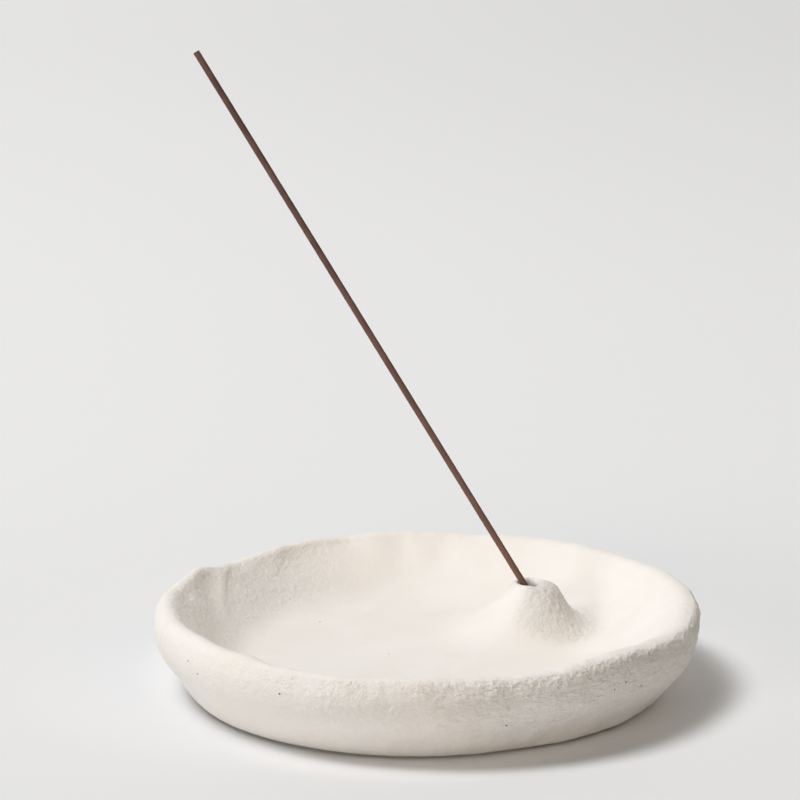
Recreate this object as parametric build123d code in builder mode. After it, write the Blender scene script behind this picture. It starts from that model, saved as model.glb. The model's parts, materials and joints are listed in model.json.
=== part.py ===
"""Hand-formed clay incense dish with a hollow cone that a leaning incense stick stands in.

Millimetres. +Z is up, the origin is the middle of the flat foot, on the table. The dish is seen from -Y,
so +X is its right and +Y its back.
"""

import os
from math import atan2, cos, pi, radians, sin, tan

from build123d import *

# Dish, across and up
dish_diameter = 160.0
rim_height = 25.0
lip_thickness = 6.4
lip_outer_round = 4.0
lip_inner_round = 2.0
foot_inset = 16.0
heel_reach = 5.0
heel_lift = 1.4
heel_round = 2.5
upright_height = 6.6
belly_round = 12.0

# Floor of the dish, which lies a little to the left and front, so the right and back walls are gentler
floor_thickness = 10.0
inner_wall_run = 20.0
floor_round = 28.0
floor_edge = 1.7
floor_shift_x = -7.0
floor_shift_y = -4.0

# The hand-formed outline, at sixteen places from +X round to +Y: how far the rim stands above an even rim,
# and how far the foot spreads past an even foot
rim_lift = (1.7, 1.2, 0.5, 0.3, -0.3, -0.2, -1.7, -0.4, 0.9, 1.3, 2.1, 1.0, 1.8, 1.2, 2.8, 0.8)
foot_spread = (-4.5, -2.0, 0.0, 0.0, 0.0, 0.0, 0.0, 1.0, 2.0, 2.5, 2.5, 1.5, 0.0, -2.5, -4.5, -2.5)
ring_count = 41

# Cone: its width at each share of its height, and the longer toe on its left
cone_inset = 42.7
cone_bearing = 32.4
cone_height = 15.0
cone_levels = (-0.25, 0.0, 0.25, 0.5, 0.75, 1.0)
cone_diameters = (70.0, 48.0, 33.0, 24.0, 17.2, 12.0)
cone_toe_shift = -4.0
cone_edge_round = 0.6

# Hole in the cone, whose wall is thin on the left, and the stick that leans in it
hole_diameter = 7.2
mouth_wall = 1.3
hole_edge_round = 0.4
stick_diameter = 2.0
stick_length = 194.0
stick_lean = 31.0
stick_clearance = 0.15

# Worked out from the sizes above
dish_radius = dish_diameter / 2
foot_radius = dish_radius - foot_inset
belly_height = rim_height - lip_outer_round - upright_height
lip_radius = dish_radius - lip_thickness
wall_foot_radius = lip_radius - inner_wall_run
wall_slope = atan2(rim_height - floor_thickness, inner_wall_run)
floor_radius = wall_foot_radius - floor_round * tan(wall_slope / 2) - floor_edge
hole_radius = hole_diameter / 2
stick_radius = stick_diameter / 2
cone_x = (dish_radius - cone_inset) * cos(radians(cone_bearing))
cone_y = (dish_radius - cone_inset) * sin(radians(cone_bearing))
cone_top = floor_thickness + cone_height
hole_x = cone_x - cone_diameters[-1] / 2 + mouth_wall + hole_radius
lean_angle = radians(stick_lean)

# The stick rests on the hole's near lip and in its far bottom corner, which sets the hole's depth
stick_room = stick_diameter + 2 * stick_clearance
hole_depth = (hole_diameter - stick_room * cos(lean_angle)) / tan(lean_angle)
stick_end = Plane(
    origin=(
        hole_x + hole_radius - stick_room / 2 * cos(lean_angle),
        cone_y,
        cone_top - hole_depth + stick_room / 2 * sin(lean_angle),
    ),
    x_dir=(0, 1, 0),
    z_dir=(-sin(lean_angle), 0, cos(lean_angle)),
)


def dish_section():
    """Half section of the dish's skin as radius and height, from the foot over the rim to the floor."""
    with BuildLine() as section:
        FilletPolyline(
            (foot_radius, 0),
            (foot_radius + heel_reach, heel_lift),
            (dish_radius, belly_height),
            (dish_radius, rim_height),
            (lip_radius, rim_height),
            (wall_foot_radius, floor_thickness),
            (floor_radius, floor_thickness),
            radius=(heel_round, belly_round, lip_outer_round, lip_inner_round, floor_round),
        )
    return section.wire()


def dish_ring(section, along):
    """One uneven ring of the dish's skin, at a share of the way along its section."""
    point = section.position_at(along)
    lift_share = sin(pi * along) ** 2
    spread_share = max(0, 1 - 2 * along) ** 2
    shift_share = along**4
    ring_points = []
    for place, (lift, spread) in enumerate(zip(rim_lift, foot_spread)):
        angle = 2 * pi * place / len(rim_lift)
        radius = point.X + spread_share * spread
        height = point.Y + lift_share * lift
        across = radius * cos(angle) + shift_share * floor_shift_x
        back = radius * sin(angle) + shift_share * floor_shift_y
        ring_points.append((across, back, height))
    with BuildLine() as ring:
        Spline(*ring_points, periodic=True)
    return ring.wire()


os.makedirs("parts", exist_ok=True)

# Dish: a skin through uneven rings, closed by its flat foot and floor
section = dish_section()
rings = [dish_ring(section, number / (ring_count - 1)) for number in range(ring_count)]
with BuildPart() as dish:
    add(Solid.make_loft(rings))

    # Cone, pressed on while the clay was wet
    for share, diameter in zip(cone_levels, cone_diameters):
        with BuildSketch(Plane.XY.offset(floor_thickness + share * cone_height)):
            with Locations((cone_x + cone_toe_shift * (1 - share) ** 2, cone_y)):
                Circle(diameter / 2)
    loft()
    cone_face = dish.faces().filter_by(Plane.XY).sort_by(Axis.Z)[-1]
    fillet(cone_face.edges(), cone_edge_round)

    # Blind hole for the stick
    with Locations((hole_x, cone_y, cone_top)):
        Hole(hole_radius, depth=hole_depth)
    cone_face = dish.faces().filter_by(Plane.XY).sort_by(Axis.Z)[-1]
    fillet(cone_face.inner_wires()[0].edges(), hole_edge_round)

# Incense stick, solid with no core, leaning left in the hole
with BuildPart() as incense_stick:
    with BuildSketch(stick_end):
        Circle(stick_radius)
    extrude(amount=stick_length)

dish.part.label = "dish"
export_step(dish.part, "parts/dish.step")

incense_stick.part.label = "incense_stick"
export_step(incense_stick.part, "parts/incense_stick.step")
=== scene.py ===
import json
import math

import bmesh
import bpy
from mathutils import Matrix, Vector


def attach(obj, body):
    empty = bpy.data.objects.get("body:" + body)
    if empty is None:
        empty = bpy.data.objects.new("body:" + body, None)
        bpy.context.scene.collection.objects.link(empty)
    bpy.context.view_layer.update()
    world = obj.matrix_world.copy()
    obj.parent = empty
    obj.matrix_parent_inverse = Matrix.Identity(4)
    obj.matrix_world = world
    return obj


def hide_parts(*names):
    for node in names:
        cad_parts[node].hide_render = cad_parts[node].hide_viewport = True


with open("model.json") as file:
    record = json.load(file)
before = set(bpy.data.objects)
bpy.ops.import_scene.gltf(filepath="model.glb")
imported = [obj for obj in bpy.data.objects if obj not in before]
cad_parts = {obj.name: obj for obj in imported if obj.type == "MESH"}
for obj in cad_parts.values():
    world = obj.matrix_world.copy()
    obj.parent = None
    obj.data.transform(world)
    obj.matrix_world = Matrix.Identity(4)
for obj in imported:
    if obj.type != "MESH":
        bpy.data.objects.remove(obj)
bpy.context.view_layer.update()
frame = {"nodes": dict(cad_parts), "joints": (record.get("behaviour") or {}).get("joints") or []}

mmPerMetre = 1000.0
scene = bpy.context.scene
scene.view_settings.view_transform = "Standard"
print("frame loaded:", sorted(frame["nodes"]))


# Node helpers, for geometry and shader trees alike
def addNode(tree, kind, inputs=None, **settings):
    node = tree.nodes.new(kind)
    for name, value in settings.items():
        setattr(node, name, value)
    for name, value in (inputs or {}).items():
        feed(tree, node.inputs[name], value)
    return node


def feed(tree, socket, value):  # a link or a plain value
    if isinstance(value, bpy.types.NodeSocket):
        tree.links.new(value, socket)
    else:
        socket.default_value = value


def calc(tree, operation, a, b=0.0):
    return addNode(tree, "ShaderNodeMath", {0: a, 1: b}, operation=operation).outputs[0]


def vectorCalc(tree, operation, a, b=(0.0, 0.0, 0.0)):
    node = addNode(tree, "ShaderNodeVectorMath", {0: a, 1: b}, operation=operation)
    givesNumber = operation in ("DOT_PRODUCT", "LENGTH", "DISTANCE")
    return node.outputs["Value" if givesNumber else "Vector"]


def scaled(tree, vector, factor):
    node = addNode(tree, "ShaderNodeVectorMath", {0: vector, "Scale": factor}, operation="SCALE")
    return node.outputs["Vector"]


def ease(tree, value, low, high, fromValue=0.0, toValue=1.0):  # smooth step between two levels
    inputs = {"Value": value, "From Min": low, "From Max": high, "To Min": fromValue, "To Max": toValue}
    return addNode(tree, "ShaderNodeMapRange", inputs, interpolation_type="SMOOTHSTEP").outputs["Result"]


def noise(tree, vector, scale, detail=2.0, roughness=0.5, distortion=0.0):
    inputs = {"Vector": vector, "Scale": scale, "Detail": detail}
    inputs.update({"Roughness": roughness, "Distortion": distortion})
    return addNode(tree, "ShaderNodeTexNoise", inputs).outputs[0]


def times(tree, *values):
    product = values[0]
    for value in values[1:]:
        product = calc(tree, "MULTIPLY", product, value)
    return product


def plus(tree, *values):
    total = values[0]
    for value in values[1:]:
        total = calc(tree, "ADD", total, value)
    return total


def perMm(tree, size):  # how many of a size in millimetres fit in one
    return calc(tree, "DIVIDE", 1.0, size)


def swing(tree, value):  # from 0 and 1 to -1 and 1
    return times(tree, calc(tree, "SUBTRACT", value, 0.5), 2.0)


def bell(tree, spread):  # soft hump over a squared distance
    return calc(tree, "EXPONENT", times(tree, spread, -1.0))


# Inputs are (name, socket type, default) and outputs are (name, socket type)
def newTree(name, kind, inputs, outputs):
    tree = bpy.data.node_groups.new(name, kind)
    for socketName, socketType, default in inputs:
        socket = tree.interface.new_socket(socketName, in_out="INPUT", socket_type=socketType)
        if default is not None:
            socket.default_value = default
    for socketName, socketType in outputs:
        tree.interface.new_socket(socketName, in_out="OUTPUT", socket_type=socketType)
    return tree, tree.nodes.new("NodeGroupInput"), tree.nodes.new("NodeGroupOutput")


def newShapeTree(name, inputs):
    return newTree(name, "GeometryNodeTree", inputs, [("Geometry", "NodeSocketGeometry")])


def sizeInputs(sizes):
    return [(name, "NodeSocketInt" if isinstance(size, int) else "NodeSocketFloat", size)
            for name, size in sizes.items()]


def dress(tree, out, geometry, material):  # the end of a shape's tree
    real = addNode(tree, "GeometryNodeRealizeInstances", {"Geometry": geometry})
    dressed = addNode(tree, "GeometryNodeSetMaterial", {"Geometry": real.outputs[0], "Material": material})
    tree.links.new(dressed.outputs[0], out.inputs[0])


def setInputs(modifier, values):  # by the socket's identifier
    for item in modifier.node_group.interface.items_tree:
        if item.item_type == "SOCKET" and item.in_out == "INPUT" and item.name in values:
            modifier[item.identifier] = values[item.name]


def plainMesh(piece, meshName):  # what the modifiers make, as a plain mesh
    evaluated = piece.evaluated_get(bpy.context.evaluated_depsgraph_get())
    mesh = bpy.data.meshes.new_from_object(evaluated)
    mesh.name = meshName
    piece.modifiers.clear()
    piece.data = mesh


# Finishes
grainLook = {
    "fineShare": 0.6,
    "coarseShare": 0.4,
    "coarseScale": 0.35,
    "speckScale": 1.6,
    "speckLevels": (0.62, 0.74),
}


def makeFineGrain(s):  # powdery grain, for the clay and the incense
    inputs = [
        ("Place", "NodeSocketVector", None),
        ("Grains per mm", "NodeSocketFloat", 2.0),
        ("Softness", "NodeSocketFloat", 0.5),
    ]
    outputs = [("Height", "NodeSocketFloat"), ("Specks", "NodeSocketFloat")]
    tree, given, out = newTree("fineGrain", "ShaderNodeTree", inputs, outputs)
    place, density = given.outputs["Place"], given.outputs["Grains per mm"]
    fine = noise(tree, place, density, 3.0, given.outputs["Softness"])
    coarse = noise(tree, place, times(tree, density, s["coarseScale"]), 2.0, 0.6)
    height = plus(tree, times(tree, fine, s["fineShare"]), times(tree, coarse, s["coarseShare"]))
    dots = noise(tree, place, times(tree, density, s["speckScale"]), 1.0, 0.4)
    tree.links.new(height, out.inputs["Height"])
    tree.links.new(ease(tree, dots, *s["speckLevels"]), out.inputs["Specks"])
    return tree


def makeTonePatches():  # slow drift of tone over a surface
    inputs = [("Place", "NodeSocketVector", None), ("Patch mm", "NodeSocketFloat", 20.0)]
    tree, given, out = newTree("tonePatches", "ShaderNodeTree", inputs, [("Tone", "NodeSocketFloat")])
    tone = noise(tree, given.outputs["Place"], perMm(tree, given.outputs["Patch mm"]), 4.0, 0.55, 0.4)
    tree.links.new(ease(tree, tone, 0.3, 0.7), out.inputs["Tone"])
    return tree


fineGrain = makeFineGrain(grainLook)
tonePatches = makeTonePatches()


def startMaterial(name, specular):
    material = bpy.data.materials.new(name)
    material.use_nodes = True
    tree = material.node_tree
    tree.nodes.clear()
    shader = addNode(tree, "ShaderNodeBsdfPrincipled", {"Specular IOR Level": specular})
    addNode(tree, "ShaderNodeOutputMaterial", {"Surface": shader.outputs[0]})
    place = scaled(tree, addNode(tree, "ShaderNodeTexCoord").outputs["Object"], mmPerMetre)
    return material, tree, shader, place


def mixColour(tree, factor, a, b):
    node = addNode(tree, "ShaderNodeMix", data_type="RGBA")
    for place, value in ((0, factor), (6, a), (7, b)):  # the colour sockets of the mix node
        feed(tree, node.inputs[place], value)
    return node.outputs[2]


def placeGroup(tree, group, inputs):
    return addNode(tree, "ShaderNodeGroup", inputs, node_tree=group).outputs


def attribute(tree, name):
    return addNode(tree, "ShaderNodeAttribute", attribute_name=name).outputs["Fac"]


def bumpSkin(tree, shader, heightMm):
    inputs = {"Strength": 1.0, "Distance": 1.0 / mmPerMetre, "Height": heightMm}
    tree.links.new(addNode(tree, "ShaderNodeBump", inputs).outputs["Normal"], shader.inputs["Normal"])


clayFinish = {
    "paleClay": (0.915, 0.886, 0.857, 1.0),
    "warmClay": (0.893, 0.848, 0.799, 1.0),
    "speckClay": (0.640, 0.560, 0.470, 1.0),
    "shadedPinHole": (0.120, 0.090, 0.070, 1.0),
    "roughness": (0.88, 0.97),
    "specular": 0.2,
    "patchMm": 24.0,
    "dentShadeLevels": (0.2, 1.2),  # painted shade: depth at which a dent starts to take a darker, warmer tint, and where the tint is fullest
    "dentShadeTint": 0.35,
    "grainsPerMm": 1.5,
    "grainSoftness": 0.7,
    "grainMm": 0.45,
    "speckTint": 0.16,
    "speckMostRough": 1.3,
    "dragMm": 1.1,
    "dragsPerMm": 0.9,
    "dragStretch": 22.0,  # millimetres to a radian, so the marks run long
    "pinHoleMm": 0.34,
    "pinHoleCore": 0.4,
    "pinHoleDeepMm": 0.5,
    "pinHoleShadeTint": 0.85,
    "pinHoleReach": (6.0, 4.0),
    "floorReachMm": 45.0,
    # places on the dish, in millimetres
    "pinHoles": [
        (-67.5, -43.1, 20.2), (-40.6, -68.8, 19.1), (21.6, -73.8, 11.8), (55.3, -57.0, 18.7),
        (51.8, -59.6, 17.5), (59.8, -51.1, 15.9), (-64.0, -46.5, 17.6), (36.0, 66.0, 14.0),
        (-11.4, -4.1, 10.0), (-32.5, 27.4, 10.0),
    ],
}


# Each hole is a thin needle into wall or floor, so it meets the skin wherever that lies
def makePinHoles(tree, place, s):
    share = 0.0
    for spot in s["pinHoles"]:
        onFloor = math.hypot(spot[0], spot[1]) < s["floorReachMm"]
        inward = Vector((0.0, 0.0, 1.0)) if onFloor else Vector((spot[0], spot[1], 0.0)).normalized()
        reach = vectorCalc(tree, "SUBTRACT", place, spot)
        depth = vectorCalc(tree, "DOT_PRODUCT", reach, inward)
        aside = vectorCalc(tree, "SUBTRACT", reach, scaled(tree, inward, depth))
        core = s["pinHoleMm"] * s["pinHoleCore"]
        near = ease(tree, vectorCalc(tree, "LENGTH", aside), s["pinHoleMm"], core)
        onSkin = ease(tree, calc(tree, "ABSOLUTE", depth), *s["pinHoleReach"])
        share = plus(tree, share, times(tree, near, onSkin))
    return share


def makeClay(s):
    material, tree, shader, place = startMaterial("bisqueClay", s["specular"])
    tone = placeGroup(tree, tonePatches, {"Place": place, "Patch mm": s["patchMm"]})["Tone"]
    grainInputs = {"Place": place, "Grains per mm": s["grainsPerMm"], "Softness": s["grainSoftness"]}
    grain = placeGroup(tree, fineGrain, grainInputs)
    dentShade = ease(tree, attribute(tree, "dentMm"), *s["dentShadeLevels"])
    rough = attribute(tree, "rough")
    drag = attribute(tree, "drag")

    shadedPinHole = makePinHoles(tree, place, s)
    colour = mixColour(tree, tone, s["paleClay"], s["warmClay"])
    # painted shade: finger dents are tinted darker and warmer, standing in for the warm shade that falls in
    # them
    colour = mixColour(tree, times(tree, dentShade, s["dentShadeTint"]), colour, s["warmClay"])
    speckRough = calc(tree, "MINIMUM", rough, s["speckMostRough"])
    speckled = times(tree, grain["Specks"], speckRough, s["speckTint"])
    colour = mixColour(tree, speckled, colour, s["speckClay"])
    # painted shade: pin holes are coloured near black for the shade inside them; the bump also dips them a
    # little
    colour = mixColour(tree, times(tree, shadedPinHole, s["pinHoleShadeTint"]), colour, s["shadedPinHole"])
    tree.links.new(colour, shader.inputs["Base Color"])
    tree.links.new(ease(tree, tone, 0.0, 1.0, *s["roughness"]), shader.inputs["Roughness"])

    # marks of a cloth drawn round the outer wall
    split = addNode(tree, "ShaderNodeSeparateXYZ", {0: place}).outputs
    bearing = calc(tree, "ARCTAN2", split["Y"], split["X"])
    longWay = times(tree, bearing, s["dragStretch"])
    dragPlace = addNode(tree, "ShaderNodeCombineXYZ", {"X": longWay, "Y": split["Z"]}).outputs[0]
    streaks = noise(tree, dragPlace, s["dragsPerMm"], 3.0, 0.6, 0.6)

    bumpSkin(tree, shader, plus(
        tree,
        times(tree, grain["Height"], rough, s["grainMm"]),
        times(tree, streaks, drag, s["dragMm"]),
        times(tree, shadedPinHole, -s["pinHoleDeepMm"]),
    ))
    return material


incenseFinish = {
    "brown": (0.183, 0.100, 0.084, 1.0),
    "darkBrown": (0.118, 0.060, 0.051, 1.0),
    "dustAndBounceBrown": (0.305, 0.170, 0.125, 1.0),
    "roughness": (0.75, 0.95),
    "specular": 0.25,
    "patchMm": 7.0,
    "grainsPerMm": 4.5,
    "grainMm": 0.07,
    "speckTint": 0.5,
    "bounceHeights": (170.0, 40.0),  # painted bounce light: paler towards its foot, near the pale dish
    "bounceTint": 0.36,
}


def makeIncense(s):
    material, tree, shader, place = startMaterial("pressedIncense", s["specular"])
    tone = placeGroup(tree, tonePatches, {"Place": place, "Patch mm": s["patchMm"]})["Tone"]
    grain = placeGroup(tree, fineGrain, {"Place": place, "Grains per mm": s["grainsPerMm"]})
    colour = mixColour(tree, tone, s["brown"], s["darkBrown"])
    height = addNode(tree, "ShaderNodeSeparateXYZ", {0: place}).outputs["Z"]
    # painted bounce light: the lower part of the stick is coloured paler, standing in for light thrown up
    # from the pale dish; the specks are dust
    paintedBounce = ease(tree, height, *s["bounceHeights"], 0.0, s["bounceTint"])
    specksAndBounce = plus(tree, times(tree, grain["Specks"], s["speckTint"]), paintedBounce)
    colour = mixColour(tree, specksAndBounce, colour, s["dustAndBounceBrown"])
    tree.links.new(colour, shader.inputs["Base Color"])
    tree.links.new(ease(tree, grain["Height"], 0.3, 0.7, *s["roughness"]), shader.inputs["Roughness"])
    bumpSkin(tree, shader, times(tree, grain["Height"], s["grainMm"]))
    return material


clay = makeClay(clayFinish)
incense = makeIncense(incenseFinish)
print("finishes made")


# Dish: the solid's own skin, worked over by hand (sizes in millimetres)
dishLook = {
    "mergeM": 1e-6,  # metres
    "voxelMm": 0.62,
    "relaxShare": 0.5,
    "relaxTurns": 3,
    "keptShare": 0.55,
    "coneSpot": (31.5, 20.0, 0.0),
    "flankSpot": (35.5, 19.5, 0.0),
    "holeSpot": (30.4, 20.0, 0.0),
    "inputs": {
        "Blend Turns": 100, "Mark Depth": 1.7, "Wall Wobble": 0.45, "Wobble Size": 26.0, "Rim Wave": 0.5,
        "Crumb Height": 0.22, "Crumb Size": 1.6, "Pit Depth": 0.14, "Grain Height": 0.22,
        "Mottle Height": 0.42, "Mottle Size": 6.5, "Crinkle Height": 0.27, "Heel Tuck": 1.3,
        "Undercut": 1.6, "Full Side": 1.4, "Valley Depth": 1.7, "Mouth Pinch": 1.3, "Seed": 7.0,
    },
    # shares of each effect by place
    "blend": {"lip": 0.35, "shoulder": 0.14},
    "dabs": {"all": 0.3},
    "calm": {"innerRight": 0.6},
    "ragged": {"all": 0.08, "front": 0.28, "left": 0.2},
    "torn": {"coneFlank": 0.4, "upperWall": 0.72},
    "creased": {"coneFlank": 1.9, "leftBack": 0.45, "drag": 0.6},
    "rough": {"all": 0.3, "outerWall": 0.75, "leftBack": 1.0, "coneFlank": 1.6, "frontRim": 0.3,
              "torn": 1.1, "innerRight": -0.15},
    # how many to a millimetre
    "tornPerMm": 0.11,
    "pitsPerMm": 0.42,
    "creasesPerMm": 0.62,
    "creaseStretch": (1.0, 1.0, 0.45),
    "grainsPerMm": 0.75,
    "ripples": 9.0,  # over the crest's unit circle
    "seedStepMm": 100.0,
    "anyHeight": 1e4,
    "shoulderMm": 0.6,
    "heelDrop": 0.55,
    "skinInsetMm": 0.3,  # keeps the skin inside the solid's box
    # valley between the cone's right foot and the wall: place, half width
    "valley": ((54.0, 18.0, 0.0), 9.0),
    # flat pressed into the heel at the right: bearing, height, half width, half height, depth
    "heelFlat": (333, 2.0, 10.0, 4.5, 1.2),
    # finger marks up the inner wall: bearing, height, half width, half height, depth, slant;
    # a depth below 0 is a ridge
    "marks": [
        (178, 20, 7, 6, 0.4, -0.8), (156, 21, 12, 6, 1.5, -1.2), (150, 21.5, 3.5, 5.5, -0.8, -2.2),
        (131, 21, 3.5, 5, -0.3, -1.2), (119, 21, 17, 5.5, 2.1, -0.9), (109, 21, 5, 5, 0.3, -0.5),
        (97, 21, 5, 5, 0.9, -0.2), (87, 21, 5, 5, 0.7, 0.0), (70, 20, 7, 6, 0.2, 0.0),
        (48, 20, 9, 6, 0.1, 0.0), (24, 20, 8, 6, 0.1, 0.0), (0, 20, 9, 6, 0.1, 0.0),
        (338, 20, 7, 6, 0.4, 0.0), (318, 20, 6, 6, 0.7, 0.0), (300, 20, 7, 6, 0.5, 0.0),
        (284, 20, 5, 6, 0.8, 0.0), (268, 20, 6, 6, 0.5, 0.0), (252, 20, 6, 6, 0.8, 0.0),
        (236, 20, 5, 6, 0.6, 0.0), (219, 20, 7, 6, 0.9, 0.0), (200, 20, 6, 6, 0.6, 0.0),
    ],
    # bumps and dips along the crest: bearing, half width, lift
    "crest": [
        (169, 5, -0.5), (154, 6, 1.0), (141, 4, -0.5), (128, 6, 0.6), (110, 5, -0.6), (96, 6, 0.3),
        (78, 5, -0.4),
    ],
}


def makeHandModelling(s):
    inputs = [("Geometry", "NodeSocketGeometry", None), *sizeInputs(s["inputs"])]
    tree, given, out = newShapeTree("handModelling", inputs + [("Clay", "NodeSocketMaterial", None)])
    take = given.outputs
    position = addNode(tree, "GeometryNodeInputPosition").outputs[0]
    place = scaled(tree, position, mmPerMetre)
    normal = addNode(tree, "GeometryNodeInputNormal").outputs[0]
    split = addNode(tree, "ShaderNodeSeparateXYZ", {0: place}).outputs
    height = split["Z"]
    flat = addNode(tree, "ShaderNodeCombineXYZ", {"X": split["X"], "Y": split["Y"]}).outputs[0]
    radius = vectorCalc(tree, "LENGTH", flat)
    around = vectorCalc(tree, "NORMALIZE", flat)  # bearing from the middle, with no seam
    outward = vectorCalc(tree, "DOT_PRODUCT", normal, around)
    seedStep = times(tree, take["Seed"], s["seedStepMm"])
    seedShift = addNode(tree, "ShaderNodeCombineXYZ", {"Z": seedStep}).outputs[0]
    shifted = vectorCalc(tree, "ADD", place, seedShift)
    fromCone = vectorCalc(tree, "DISTANCE", flat, s["coneSpot"])
    fromFlank = vectorCalc(tree, "DISTANCE", flat, s["flankSpot"])
    fromHole = vectorCalc(tree, "DISTANCE", flat, s["holeSpot"])
    coneOut = vectorCalc(tree, "NORMALIZE", vectorCalc(tree, "SUBTRACT", flat, s["coneSpot"]))
    holeOut = vectorCalc(tree, "NORMALIZE", vectorCalc(tree, "SUBTRACT", flat, s["holeSpot"]))

    def atHeight(low, high):
        return ease(tree, height, low, high)

    def atRadius(low, high):
        return ease(tree, radius, low, high)

    def side(direction, degrees, low, high):  # how far a direction turns to one side
        there = (math.cos(math.radians(degrees)), math.sin(math.radians(degrees)), 0.0)
        return ease(tree, vectorCalc(tree, "DOT_PRODUCT", direction, there), low, high)

    def swell(bearing, level, wide, tall, slant=0.0):  # soft spot at a bearing and height, which can slant
        turn = math.radians(bearing)
        along = vectorCalc(tree, "DOT_PRODUCT", flat, (-math.sin(turn), math.cos(turn), 0.0))
        above = calc(tree, "SUBTRACT", height, level)
        along = calc(tree, "DIVIDE", calc(tree, "SUBTRACT", along, times(tree, above, slant)), wide)
        up = calc(tree, "DIVIDE", above, tall)
        spread = plus(tree, times(tree, along, along), times(tree, up, up))
        return times(tree, bell(tree, spread), side(flat, bearing, 30.0, 45.0))

    # wet clay smeared round the cone's foot, a softer lip along the front, and the mouth's thick shoulder
    smear = times(tree, ease(tree, fromCone, 9.0, 15.0), ease(tree, fromCone, 44.0, 34.0),
                  atHeight(23.0, 19.0))
    lip = times(tree, atHeight(14.0, 20.0), atRadius(62.0, 68.0), side(around, 275.0, 0.3, 0.8))
    shoulder = times(tree, side(holeOut, 5.0, -0.1, 0.9), atHeight(19.5, 23.5))
    nearHole = ease(tree, fromHole, 8.5, 6.5)
    worn = plus(tree, smear, times(tree, lip, s["blend"]["lip"]),
                times(tree, shoulder, nearHole, s["blend"]["shoulder"]))
    blurInputs = {"Iterations": take["Blend Turns"], "Weight": worn}
    blurred = addNode(tree, "GeometryNodeBlurAttribute", blurInputs, data_type="FLOAT_VECTOR")
    tree.links.new(position, next(socket for socket in blurred.inputs if socket.enabled))
    softened = next(socket for socket in blurred.outputs if socket.enabled)
    blended = addNode(tree, "GeometryNodeSetPosition", {"Geometry": take["Geometry"], "Position": softened})

    # regions of the dish
    offFoot = atHeight(0.4, 3.0)
    offMouth = ease(tree, fromHole, 4.0, 5.5)
    outerWall = times(tree, ease(tree, outward, 0.2, 0.6), atRadius(60.0, 66.0))
    rim = times(tree, atHeight(20.0, 24.0), atRadius(66.0, 72.0))
    front = side(around, 300.0, 0.2, 0.6)
    right = side(around, 335.0, 0.72, 0.93)
    coneFlank = times(tree, ease(tree, fromFlank, 21.0, 13.0), side(coneOut, 320.0, -0.15, 0.5))
    innerRight = times(tree, side(around, 10.0, 0.3, 0.8), atRadius(73.0, 66.0))
    leftBack = times(tree, side(around, 158.0, 0.55, 0.9), atRadius(52.0, 60.0), atRadius(78.0, 74.0))
    upperWall = times(tree, outerWall, front, atHeight(9.0, 19.0))
    lowWall = times(tree, atHeight(17.0, 7.0), atHeight(0.3, 2.5), atRadius(60.0, 64.0))
    heel = times(tree, atHeight(6.0, 1.0), atRadius(62.5, 64.5))
    drag = times(tree, outerWall, side(around, 318.0, 0.55, 0.85), atHeight(6.5, 12.5))

    # finger marks push the inner wall and the crest outwards
    marks = 0.0
    for bearing, level, wide, tall, depth, slant in s["marks"]:
        marks = plus(tree, marks, times(tree, swell(bearing, level, wide, tall, slant), depth))
    pressed = times(tree, marks, atRadius(80.0, 74.0), atRadius(46.0, 56.0), take["Mark Depth"])

    # slow unevenness of wall and floor, and smaller dabs on the outer wall
    slow = noise(tree, shifted, perMm(tree, take["Wobble Size"]))
    calm = plus(tree, 1.0, times(tree, innerRight, -s["calm"]["innerRight"]))
    dabs = noise(tree, shifted, perMm(tree, take["Mottle Size"]))
    dabbed = times(tree, outerWall, plus(tree, s["dabs"]["all"], side(around, 320.0, 0.2, 0.8)))
    wobble = plus(tree, times(tree, swing(tree, slow), take["Wall Wobble"], calm),
                  times(tree, swing(tree, dabs), take["Mottle Height"], dabbed))

    # crest that rises and falls
    ripple = swing(tree, noise(tree, scaled(tree, around, s["ripples"]), 1.0, 1.0))
    lift = times(tree, ripple, take["Rim Wave"])
    for bearing, wide, rise in s["crest"]:
        lift = plus(tree, lift, times(tree, swell(bearing, 0.0, wide, s["anyHeight"]), rise))
    lift = times(tree, lift, rim)

    # valley at the cone's right foot, and the right side of the mouth pressed in
    valleySpot, valleyWide = s["valley"]
    reach = calc(tree, "DIVIDE", vectorCalc(tree, "DISTANCE", flat, valleySpot), valleyWide)
    valley = times(tree, bell(tree, times(tree, reach, reach)), atHeight(5.0, 8.0))
    lift = calc(tree, "SUBTRACT", lift, times(tree, valley, take["Valley Depth"]))
    pinch = times(tree, shoulder, ease(tree, fromHole, 6.5, 3.6), take["Mouth Pinch"])
    rounded = plus(tree, s["shoulderMm"], ease(tree, fromCone, 3.0, 6.8, 0.0, -s["shoulderMm"]))
    lift = plus(tree, lift, times(tree, shoulder, rounded, ease(tree, fromHole, 2.0, 3.0)))

    # wall that runs on down to a crisp lower edge, and is fuller at the right
    tuck = times(tree, heel, take["Heel Tuck"], calc(tree, "SUBTRACT", right, 1.0))
    under = times(tree, atHeight(1.5, 0.5), atRadius(60.0, 64.5), take["Undercut"])
    tuck = calc(tree, "SUBTRACT", tuck, under)
    tuck = plus(tree, tuck, times(tree, lowWall, right, take["Full Side"]))
    *flatSpot, flatDeep = s["heelFlat"]
    tuck = calc(tree, "SUBTRACT", tuck, times(tree, swell(*flatSpot), atRadius(58.0, 62.0), flatDeep))
    lift = plus(tree, lift, times(tree, heel, height, -s["heelDrop"]))

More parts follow.
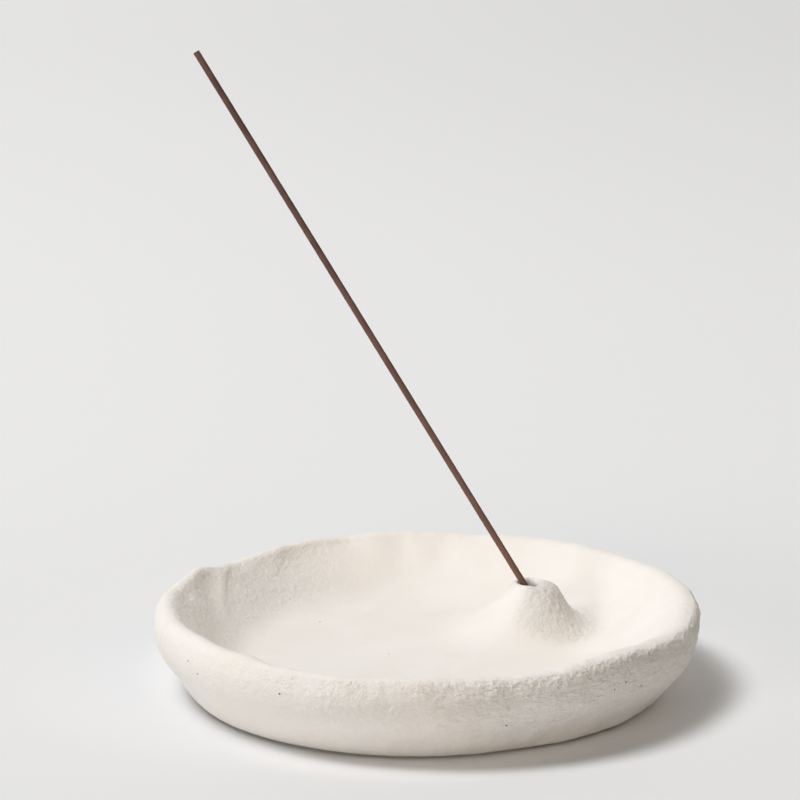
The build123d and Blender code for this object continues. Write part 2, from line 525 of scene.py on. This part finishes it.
    # torn, crumbly clay along the front rim, under it and on the cone
    farLeft = side(around, 165.0, 0.8, 0.95)
    ragged = plus(tree, s["ragged"]["all"], times(tree, front, s["ragged"]["front"]),
                  times(tree, farLeft, s["ragged"]["left"]))
    torn = plus(tree, times(tree, rim, ragged), times(tree, coneFlank, s["torn"]["coneFlank"]),
                times(tree, upperWall, s["torn"]["upperWall"]))
    tornHere = times(tree, torn, ease(tree, noise(tree, shifted, s["tornPerMm"]), 0.35, 0.6, 0.35, 1.0))
    crumbs = noise(tree, shifted, perMm(tree, take["Crumb Size"]), 4.0, 0.65)
    crumble = times(tree, swing(tree, crumbs), tornHere, take["Crumb Height"])
    pitInputs = {"Vector": shifted, "Scale": s["pitsPerMm"], "Randomness": 1.0}
    fromPit = addNode(tree, "ShaderNodeTexVoronoi", pitInputs).outputs["Distance"]
    pits = times(tree, ease(tree, fromPit, 0.40, 0.10), tornHere, take["Pit Depth"], -1.0)

    # upright creases, and the grain of the clay
    upright = vectorCalc(tree, "MULTIPLY", shifted, s["creaseStretch"])
    creased = plus(tree, times(tree, coneFlank, s["creased"]["coneFlank"]),
                   times(tree, leftBack, s["creased"]["leftBack"]), times(tree, drag, s["creased"]["drag"]))
    creases = noise(tree, upright, s["creasesPerMm"], 3.0, 0.65)
    crinkle = times(tree, swing(tree, creases), creased, take["Crinkle Height"])
    frontRim = times(tree, rim, front)
    rough = s["rough"]["all"]
    for region, name in ((outerWall, "outerWall"), (leftBack, "leftBack"), (coneFlank, "coneFlank"),
                         (frontRim, "frontRim"), (tornHere, "torn"), (innerRight, "innerRight")):
        rough = plus(tree, rough, times(tree, region, s["rough"][name]))
    grains = noise(tree, shifted, s["grainsPerMm"], 2.0, 0.55)
    grain = times(tree, swing(tree, grains), rough, take["Grain Height"])

    inset = times(tree, plus(tree, outerWall, rim), -s["skinInsetMm"])
    depth = times(tree, plus(tree, wobble, crumble, pits, crinkle, grain, inset), offFoot, offMouth)
    kept = blended.outputs[0]
    for name, value in (("dentMm", pressed), ("rough", rough), ("drag", drag)):
        storeInputs = {"Geometry": kept, "Name": name, "Value": value}
        store = addNode(tree, "GeometryNodeStoreNamedAttribute", storeInputs,
                        data_type="FLOAT", domain="POINT")
        kept = store.outputs[0]
    raised = addNode(tree, "ShaderNodeCombineXYZ", {"X": times(tree, pinch, -1.0), "Z": lift}).outputs[0]
    inOut = plus(tree, times(tree, pressed, offFoot), tuck)
    offset = vectorCalc(tree, "ADD", scaled(tree, normal, depth), scaled(tree, around, inOut))
    offset = scaled(tree, vectorCalc(tree, "ADD", offset, raised), 1.0 / mmPerMetre)
    moved = addNode(tree, "GeometryNodeSetPosition", {"Geometry": kept, "Offset": offset})
    smooth = addNode(tree, "GeometryNodeSetShadeSmooth", {"Geometry": moved.outputs[0]})
    dress(tree, out, smooth.outputs[0], take["Clay"])
    return tree


def makeDish(s):
    mesh = frame["nodes"]["dish"].data.copy()
    mesh.name = "clayDish"
    skin = bmesh.new()
    skin.from_mesh(mesh)
    bmesh.ops.remove_doubles(skin, verts=skin.verts, dist=s["mergeM"])
    skin.to_mesh(mesh)
    skin.free()
    mesh.materials.clear()
    piece = bpy.data.objects.new("clayDish", mesh)
    scene.collection.objects.link(piece)
    remesh = piece.modifiers.new("evenSkin", "REMESH")
    remesh.mode = "VOXEL"
    remesh.voxel_size = s["voxelMm"] / mmPerMetre
    remesh.use_smooth_shade = True
    relax = piece.modifiers.new("relax", "SMOOTH")
    relax.factor = s["relaxShare"]
    relax.iterations = s["relaxTurns"]
    modelling = piece.modifiers.new("handModelling", "NODES")
    modelling.node_group = makeHandModelling(s)
    setInputs(modelling, {**s["inputs"], "Clay": clay})
    thin = piece.modifiers.new("thin", "DECIMATE")  # fewer faces where the clay is even
    thin.ratio = s["keptShare"]
    plainMesh(piece, "clayDish")
    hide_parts("dish")
    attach(piece, "dish")
    triangles = sum(len(face.vertices) - 2 for face in piece.data.polygons)
    print("dish modelled:", len(piece.data.polygons), "faces", triangles, "triangles")


makeDish(dishLook)


# Incense stick: a pressed round stick along the solid's own axis
stickLook = {
    "shape": {"Radius": 0.00098, "Segments": 260, "Sides": 20, "Roughness": 0.00018},  # metres
    "grainsPerMm": 0.9,
    "grainLevel": 0.62,  # above the middle, so the skin goes mostly inwards
    "sharpAngle": 0.8,
    "endM": 1e-5,
}


def makePressedStick(s):
    inputs = [
        ("Geometry", "NodeSocketGeometry", None),
        ("Foot", "NodeSocketVector", None),
        ("Tip", "NodeSocketVector", None),
        *sizeInputs(s["shape"]),
        ("Incense", "NodeSocketMaterial", None),
    ]
    tree, given, out = newShapeTree("pressedStick", inputs)
    take = given.outputs
    line = addNode(tree, "GeometryNodeCurvePrimitiveLine", {"Start": take["Foot"], "End": take["Tip"]})
    pointInputs = {"Curve": line.outputs[0], "Count": take["Segments"]}
    points = addNode(tree, "GeometryNodeResampleCurve", pointInputs)
    profileInputs = {"Resolution": take["Sides"], "Radius": take["Radius"]}
    profile = addNode(tree, "GeometryNodeCurvePrimitiveCircle", profileInputs)
    tubeInputs = {"Curve": points.outputs[0], "Profile Curve": profile.outputs[0], "Fill Caps": True}
    tube = addNode(tree, "GeometryNodeCurveToMesh", tubeInputs)
    place = scaled(tree, addNode(tree, "GeometryNodeInputPosition").outputs[0], mmPerMetre)
    normal = addNode(tree, "GeometryNodeInputNormal").outputs[0]
    rough = calc(tree, "SUBTRACT", noise(tree, place, s["grainsPerMm"], 3.0, 0.6), s["grainLevel"])
    offset = scaled(tree, normal, times(tree, rough, take["Roughness"]))
    moved = addNode(tree, "GeometryNodeSetPosition", {"Geometry": tube.outputs[0], "Offset": offset})
    angle = addNode(tree, "GeometryNodeInputMeshEdgeAngle").outputs[0]
    soft = addNode(tree, "FunctionNodeCompare", {0: angle, 1: s["sharpAngle"]},
                   data_type="FLOAT", operation="LESS_THAN")
    smoothInputs = {"Geometry": moved.outputs[0], "Shade Smooth": soft.outputs[0]}
    smooth = addNode(tree, "GeometryNodeSetShadeSmooth", smoothInputs, domain="EDGE")
    dress(tree, out, smooth.outputs[0], take["Incense"])
    return tree


def makeStick(s):
    axis = Vector(frame["joints"][0]["axis"]).normalized()
    corners = [v.co.copy() for v in frame["nodes"]["incense_stick"].data.vertices]
    along = [corner.dot(axis) for corner in corners]
    ends = []
    for level in (min(along), max(along)):  # middle of each flat end
        ring = [corner for corner, reach in zip(corners, along) if abs(reach - level) < s["endM"]]
        low = Vector([min(c[i] for c in ring) for i in range(3)])
        high = Vector([max(c[i] for c in ring) for i in range(3)])
        ends.append((low + high) / 2)
    piece = bpy.data.objects.new("incenseStick", bpy.data.meshes.new("incenseStick"))
    scene.collection.objects.link(piece)
    shape = piece.modifiers.new("pressedStick", "NODES")
    shape.node_group = makePressedStick(s)
    setInputs(shape, {**s["shape"], "Foot": ends[0], "Tip": ends[1], "Incense": incense})
    plainMesh(piece, "incenseStick")
    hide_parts("incense_stick")
    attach(piece, "stick")
    print("stick made:", len(piece.data.polygons), "faces")


makeStick(stickLook)


# Table, light and camera
stageLook = {
    "tableDim": (0.712, 0.718, 0.732, 1.0),
    "tablePale": (0.912, 0.920, 0.938, 1.0),
    "tableRoughness": 0.8,
    "tableSpecular": 0.1,
    "tableSize": 12.0,
    # tone of the table, and its sweeps of painted light and shade: from and to in millimetres, tone at each
    # end
    "tone": 0.52,
    "paintedLightAcross": (-450.0, 450.0, 0.27, -0.27),
    "paintedLightNear": (-100.0, 300.0, 0.0, 0.20),
    "paintedShadeFar": (400.0, 1600.0, 0.0, -0.32),
    "sky": (1.0, 1.0, 1.0, 1.0),
    "skyStrength": 0.02,
    # direction towards the lamp, strength, width in degrees, colour
    "lamps": {
        "key": ((-0.50, -0.08, 0.86), 1.36, 20.0, (1.0, 1.0, 1.0)),
        "top": ((-0.36, 0.0, 0.93), 0.84, 26.0, (1.0, 1.0, 1.0)),
        "back": ((0.10, 0.85, 0.52), 0.82, 70.0, (1.0, 0.99, 0.97)),
        "left": ((-0.97, -0.12, 0.21), 0.12, 22.0, (1.0, 1.0, 1.0)),
        "frontLeft": ((-0.66, -0.72, 0.19), 0.68, 20.0, (1.0, 0.97, 0.90)),
        "front": ((-0.10, -0.97, 0.17), 0.26, 18.0, (1.0, 0.78, 0.56)),
        "right": ((0.62, -0.42, 0.66), 0.45, 40.0, (1.0, 0.89, 0.74)),
    },
}


def makeTable(s):
    half = s["tableSize"] / 2
    corners = [(-half, -half, 0), (half, -half, 0), (half, half, 0), (-half, half, 0)]
    mesh = bpy.data.meshes.new("table")
    mesh.from_pydata(corners, [], [(0, 1, 2, 3)])
    table = bpy.data.objects.new("table", mesh)
    scene.collection.objects.link(table)
    material, tree, shader, place = startMaterial("paleTable", s["tableSpecular"])
    # painted light and shade: the table is paler to the left and in the middle distance, and darker far
    # off, standing in for how the lamps fall across it
    split = addNode(tree, "ShaderNodeSeparateXYZ", {0: place}).outputs
    tone = plus(tree, s["tone"], ease(tree, split["X"], *s["paintedLightAcross"]),
                ease(tree, split["Y"], *s["paintedLightNear"]), ease(tree, split["Y"], *s["paintedShadeFar"]))
    tree.links.new(mixColour(tree, tone, s["tableDim"], s["tablePale"]), shader.inputs["Base Color"])
    shader.inputs["Roughness"].default_value = s["tableRoughness"]
    mesh.materials.append(material)


def makeLight(s):
    world = bpy.data.worlds.new("studio")
    scene.world = world
    world.use_nodes = True
    sky = world.node_tree.nodes["Background"]
    sky.inputs["Color"].default_value = s["sky"]
    sky.inputs["Strength"].default_value = s["skyStrength"]
    for name, (towards, strength, width, colour) in s["lamps"].items():
        lamp = bpy.data.lights.new(name, "SUN")
        lamp.energy = strength
        lamp.angle = math.radians(width)
        lamp.color = colour
        holder = bpy.data.objects.new(name, lamp)
        holder.rotation_euler = Vector(towards).to_track_quat("Z", "Y").to_euler()
        scene.collection.objects.link(holder)


cameraLook = {
    "place": (0.0, -0.95732, 0.31403),
    "tilt": 76.562,
    "turn": 0.4895,
    "lens": 153.8,
    "sensor": 36.0,
}


def makeCamera(s):
    lens = bpy.data.cameras.new("camera")
    lens.lens = s["lens"]
    lens.sensor_width = s["sensor"]
    camera = bpy.data.objects.new("camera", lens)
    camera.location = s["place"]
    camera.rotation_euler = (math.radians(s["tilt"]), 0.0, math.radians(s["turn"]))
    scene.collection.objects.link(camera)
    scene.camera = camera


makeTable(stageLook)
makeLight(stageLook)
makeCamera(cameraLook)
print("stage set")
